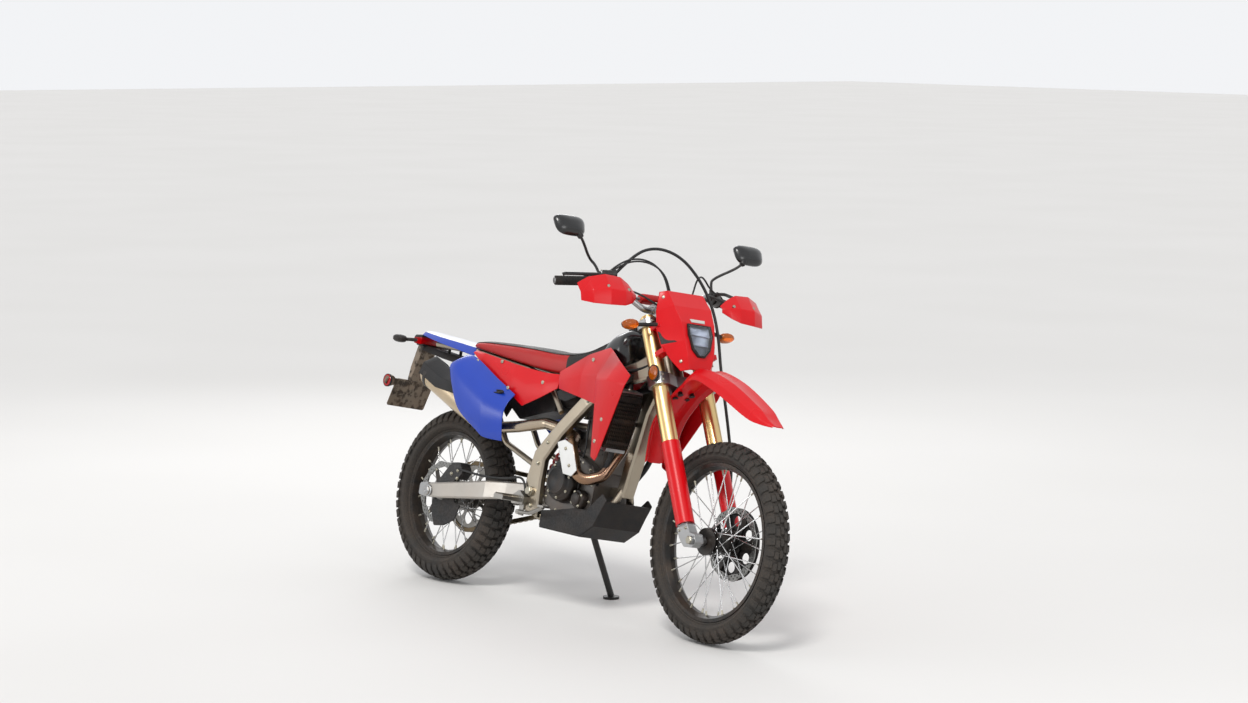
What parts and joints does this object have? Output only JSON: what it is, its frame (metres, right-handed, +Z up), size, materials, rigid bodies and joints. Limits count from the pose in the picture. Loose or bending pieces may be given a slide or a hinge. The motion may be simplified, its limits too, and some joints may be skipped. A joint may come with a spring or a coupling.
{
  "type": "dual sport motorcycle",
  "caption": "Dual sport motorcycle leaning on its side stand, with wire-spoked wheels, steered fork, high fender, hand guards, mirrors and a twin-spar frame.",
  "frame": {"origin": "on the floor, under the middle of the whole bike's box", "axes": "+X forward, +Y to the bike's left, +Z up; the bike leans about 12 degrees to its left on its side stand"},
  "size_m": [2.258, 0.9478, 1.4527],
  "materials": {
    "alloy_frame": "satin",
    "dark_steel": "satin black",
    "engine_alloy": "cast grey",
    "engine_black": "semi-gloss black",
    "exhaust": "heat tinted",
    "shock_metal": "satin",
    "chain_steel": "oiled",
    "caliper_metal": "satin dark",
    "disc_steel": "ground",
    "black_plastic": "fine grain",
    "red_plastic": "gloss red",
    "blue_plastic": "gloss blue",
    "seat_vinyl": "grippy vinyl",
    "radiator_black": "matt black",
    "tail_lens": "red lens",
    "amber_lens": "amber lens",
    "lamp_clear": "clear lens",
    "peg_steel": "cast",
    "clamp_alloy": "bead blasted",
    "fork_gold": "gold anodised",
    "slider_chrome": "hard chrome",
    "bar_silver": "satin",
    "grip_rubber": "ribbed",
    "tyre_rubber": "knobbly",
    "rim_black": "black anodised",
    "hub_alloy": "machined",
    "spoke_steel": "stainless"
  },
  "bodies": {
    "chassis": {"frame": "alloy_frame", "cradle": "alloy_frame", "subframe": "alloy_frame", "engine_cases": "engine_alloy", "engine_covers": "engine_black", "cylinder": "engine_alloy", "header_pipe": "exhaust", "silencer": "exhaust", "swingarm": "alloy_frame", "shock": "shock_metal", "chain": "chain_steel", "rear_caliper": "caliper_metal", "disc_guard": "black_plastic", "fuel_tank": "black_plastic", "seat": "seat_vinyl", "shrouds": "red_plastic", "side_panels": "blue_plastic", "side_covers": "red_plastic", "airbox": "black_plastic", "rear_fender": "blue_plastic", "inner_fender": "black_plastic", "tail_light": "tail_lens", "rear_signals": "amber_lens", "plate_bracket": "black_plastic", "skid_plate": "black_plastic", "radiators": "radiator_black", "footpegs": "peg_steel", "foot_controls": "peg_steel"},
    "front_end": {"triple_clamps": "clamp_alloy", "fork_tubes": "fork_gold", "fork_sliders": "slider_chrome", "fork_feet": "clamp_alloy", "fork_guards": "red_plastic", "front_fender": "red_plastic", "headlight_cowl": "red_plastic", "headlight": "lamp_clear", "front_signals": "amber_lens", "handlebar": "bar_silver", "bar_pad": "red_plastic", "grips": "grip_rubber", "controls": "black_plastic", "hand_guards": "red_plastic", "mirrors": "black_plastic", "instrument": "black_plastic", "front_caliper": "caliper_metal", "front_disc_guard": "black_plastic", "brake_hose": "grip_rubber"},
    "front_wheel": {"front_tyre": "tyre_rubber", "front_rim": "rim_black", "front_hub": "hub_alloy", "front_spokes": "spoke_steel", "front_disc": "disc_steel"},
    "rear_wheel": {"rear_tyre": "tyre_rubber", "rear_rim": "rim_black", "rear_hub": "hub_alloy", "rear_spokes": "spoke_steel", "rear_disc": "disc_steel", "rear_sprocket": "chain_steel"},
    "side_stand": {"side_stand": "dark_steel"}
  },
  "joints": [
    {"name": "steering", "type": "hinge", "parent": "chassis", "child": "front_end", "pos_m": [0.72258, -0.21028, 0.31586], "axis": [-0.4769, 0.1797, 0.8604], "range_deg": [-41.1, 48.9]},
    {"name": "front_wheel_spin", "type": "hinge", "parent": "front_end", "child": "front_wheel", "pos_m": [0.7788, -0.20831, 0.3466], "axis": [0.0597, 0.9832, -0.1723], "continuous": true},
    {"name": "rear_wheel_spin", "type": "hinge", "parent": "chassis", "child": "rear_wheel", "pos_m": [-0.71708, -0.20853, 0.32469], "axis": [-0.0001, 0.9789, -0.2045], "continuous": true},
    {"name": "side_stand_swing", "type": "hinge", "parent": "chassis", "child": "side_stand", "pos_m": [-0.09508, -0.06969, 0.29959], "axis": [0, 0.9915, 0.13], "range_deg": [0, 88]}
  ]
}
